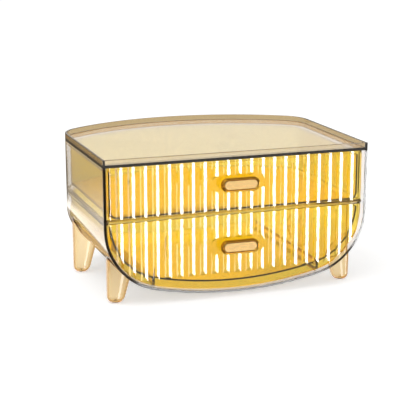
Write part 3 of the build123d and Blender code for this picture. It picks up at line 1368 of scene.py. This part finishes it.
@dataclass(frozen=True)
class Studio:
    """A white table top, soft light all round, and a camera at the photograph's angle."""

    eye: tuple[float, float, float] = (-474.84 * MM, -1353.73 * MM, 422.85 * MM)
    turn_deg: float = 19.52
    pitch_deg: float = 13.72
    focal_px: float = 1275.0
    frame_px: float = 416.0
    sensor_mm: float = 36.0
    sight: float = 50.0
    table_half: float = 9.0
    table_colour: str = "#E8E8E8"
    table_roughness: float = 0.9
    table_lift: float = 0.55
    ambient: float = 0.62
    room: float = 0.34
    echo: float = 0.9
    room_tone: str = "#EED7B4"
    softbox_place: tuple[float, float, float] = (-0.7, -0.5, 1.5)
    softbox_size: tuple[float, float] = (1.4, 1.0)
    softbox_watts: float = 7.0
    strip_turn_deg: float = -43.0
    strip_rise_deg: float = -14.5
    strip_distance: float = 6.0
    strip_size: tuple[float, float] = (1.9, 1.8)
    strip_watts: float = 245.0
    bounces: int = 36
    transmission_bounces: int = 28
    glossy_bounces: int = 24

    def camera(self) -> None:
        """Set up the camera."""
        lens = bpy.data.cameras.new("camera")
        lens.sensor_width = self.sensor_mm
        lens.lens = self.focal_px / self.frame_px * self.sensor_mm
        lens.clip_end = self.sight
        eye = place_in_scene("camera", lens)
        turn, pitch = math.radians(self.turn_deg), math.radians(self.pitch_deg)
        level = math.cos(pitch)
        aim = Vector((math.sin(turn) * level, math.cos(turn) * level, -math.sin(pitch)))
        eye.location = self.eye
        eye.rotation_mode = "QUATERNION"
        eye.rotation_quaternion = aim.to_track_quat("-Z", "Y")
        bpy.context.scene.camera = eye

    def table(self) -> None:
        """Lay the white table top, which keeps the object's shadow."""
        form = bmesh.new()
        size = self.table_half
        corners = [(-size, -size, 0), (size, -size, 0), (size, size, 0), (-size, size, 0)]
        form.faces.new([form.verts.new(c) for c in corners])
        top = settle("table_top", form)
        # Matt white laminate, lifted to white for the camera, and warm where it shows inside the plastic
        paint, tree, shader = blank("white_laminate")
        path = add_node(tree, "ShaderNodeLightPath").outputs
        straight, echoed = self.passes(tree, path)
        shown = {0: path["Is Camera Ray"], 1: straight}
        seen = add_node(tree, "ShaderNodeMath", shown, operation="ADD").outputs[0]
        lift = add_node(tree, "ShaderNodeMath", {0: seen, 1: self.table_lift}, operation="MULTIPLY")
        look = {
            "Base Color": linear(self.table_colour),
            "Roughness": self.table_roughness,
            "Specular IOR Level": 0.0,
            "Emission Color": linear(WHITE),
            "Emission Strength": lift.outputs[0],
        }
        connect(tree, shader, look)
        glow = {"Color": linear(self.room_tone), "Strength": self.echo}
        warm = add_node(tree, "ShaderNodeEmission", glow)
        sides = {0: echoed, 1: shader.outputs["BSDF"], 2: warm.outputs["Emission"]}
        both = add_node(tree, "ShaderNodeMixShader", sides)
        connect(tree, tree.nodes["Material Output"], {"Surface": both.outputs["Shader"]})
        top.data.materials.append(paint)
        top.visible_glossy = False

    def world(self) -> None:
        """Surround the object with white, and with a dim warm room and bright cards for reflections."""
        world = bpy.data.worlds.new("studio")
        bpy.context.scene.world = world
        world.use_nodes = True
        tree = world.node_tree
        way = add_node(tree, "ShaderNodeTexCoord").outputs["Generated"]
        split = add_node(tree, "ShaderNodeSeparateXYZ", {"Vector": way}).outputs
        ahead = add_node(tree, "ShaderNodeMath", {0: split["Y"], 1: -1.0}, operation="MULTIPLY")
        turn = {0: split["X"], 1: ahead.outputs[0]}
        azimuth = add_node(tree, "ShaderNodeMath", turn, operation="ARCTAN2").outputs[0]
        rise = add_node(tree, "ShaderNodeMath", {0: split["Z"]}, operation="ARCSINE").outputs[0]
        path = add_node(tree, "ShaderNodeLightPath").outputs
        straight, echoed = self.passes(tree, path)
        mirrored = 0.0
        for card in CARDS:
            cards = {0: mirrored, 1: card.wire(tree, azimuth, rise)}
            mirrored = add_node(tree, "ShaderNodeMath", cards, operation="ADD").outputs[0]
        glossy = path["Is Glossy Ray"]
        white = (
            (path["Is Camera Ray"], 1.0),
            (straight, 1.0),
            (glossy, mirrored),
            (path["Is Diffuse Ray"], self.ambient),
        )
        warm = ((glossy, self.room), (echoed, self.echo))
        shades = add_node(tree, "ShaderNodeAddShader")
        for slot, (tone, parts) in enumerate(((WHITE, white), (self.room_tone, warm))):
            total = 0.0
            for share, level in parts:
                part = {0: share, 1: level, 2: total}
                total = add_node(tree, "ShaderNodeMath", part, operation="MULTIPLY_ADD").outputs[0]
            shade = add_node(tree, "ShaderNodeBackground", {"Color": linear(tone), "Strength": total})
            connect(tree, shades, {slot: shade.outputs[0]})
        connect(tree, tree.nodes["World Output"], {"Surface": shades.outputs[0]})

    def passes(self, tree: NodeTree, path: NodeOutputs) -> tuple[NodeSocket, NodeSocket]:
        """Tell apart the two ways in which light comes through a clear piece.

        Args:
            tree: the tree that gets the nodes.
            path: the outputs of its Light Path node.

        Returns:
            1 for light that came straight through, and 1 for light that was reflected inside first.
        """
        ways = []
        for operation in ("LESS_THAN", "GREATER_THAN"):
            # The depth counts reflections, and a half lies between none and one
            turns = {0: path["Glossy Depth"], 1: 0.5}
            way = add_node(tree, "ShaderNodeMath", turns, operation=operation).outputs[0]
            both = {0: path["Is Transmission Ray"], 1: way}
            ways.append(add_node(tree, "ShaderNodeMath", both, operation="MULTIPLY").outputs[0])
        return ways[0], ways[1]

    def lamp(self, name: str, place: Vector, size: tuple[float, float], watts: float) -> Object:
        """Hang a soft lamp that faces the object.

        Args:
            name: the lamp's name.
            place: where it hangs.
            size: its width and height.
            watts: its power.

        Returns:
            The lamp.
        """
        light = bpy.data.lights.new(name, "AREA")
        light.shape = "RECTANGLE"
        light.size, light.size_y = size
        light.energy = watts
        box = place_in_scene(name, light)
        box.location = place
        box.rotation_mode = "QUATERNION"
        box.rotation_quaternion = (-place).to_track_quat("-Z", "Y")
        return box

    def strip(self, fronts: Sequence[Object]) -> None:
        """Hang a strip lamp low on the left, which the fronts alone mirror: white stripes on their flutes.

        Args:
            fronts: the drawers' fronts.
        """
        turn, rise = math.radians(self.strip_turn_deg), math.radians(self.strip_rise_deg)
        level = math.cos(rise)
        way = Vector((math.sin(turn) * level, -math.cos(turn) * level, math.sin(rise)))
        lamp = self.lamp("strip", self.strip_distance * way, self.strip_size, self.strip_watts)
        lamp.visible_camera = False
        lamp.visible_transmission = False
        lit = bpy.data.collections.new("fluted_fronts")
        for front in fronts:
            lit.objects.link(front)
        lamp.light_linking.receiver_collection = lit

    def build(self, fronts: Sequence[Object]) -> None:
        """Set up the whole studio round the object.

        Args:
            fronts: the drawers' fronts, for the strip lamp.
        """
        bpy.context.scene.view_settings.view_transform = "Standard"
        cycles = bpy.context.scene.cycles
        cycles.max_bounces = self.bounces
        cycles.transmission_bounces = self.transmission_bounces
        cycles.glossy_bounces = self.glossy_bounces
        self.camera()
        self.table()
        self.world()
        self.lamp("softbox", Vector(self.softbox_place), self.softbox_size, self.softbox_watts)
        self.strip(fronts)


def dress_carried_nodes() -> None:
    """Give the frame's own nodes that stay in view, the foot pads, their material."""
    for name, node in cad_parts.items():
        if name.startswith("foot_pad"):
            node.data.materials.clear()
            node.data.materials.append(Paint.of(PAD))
            log.info("%s: %s", name, PAD.name)


def main() -> None:
    """Build the organizer's pieces and the studio round them."""
    logging.basicConfig(level=logging.INFO, format="%(message)s")
    Casing().assemble()
    TopTray().assemble()
    flutes, screws = FluteTree(), ScrewTree()
    upper = Drawer("upper", Body.UPPER, bowed=False, flute_foot=2.6 * MM, flute_run_out=0.0)
    lower = Drawer("lower", Body.LOWER, bowed=True, flute_foot=17.0 * MM, flute_run_out=3.3 * MM)
    fronts = [drawer.assemble(flutes, screws) for drawer in (upper, lower)]
    Legs().assemble()
    dress_carried_nodes()
    Studio().build(fronts)


if __name__ == "__main__":
    main()
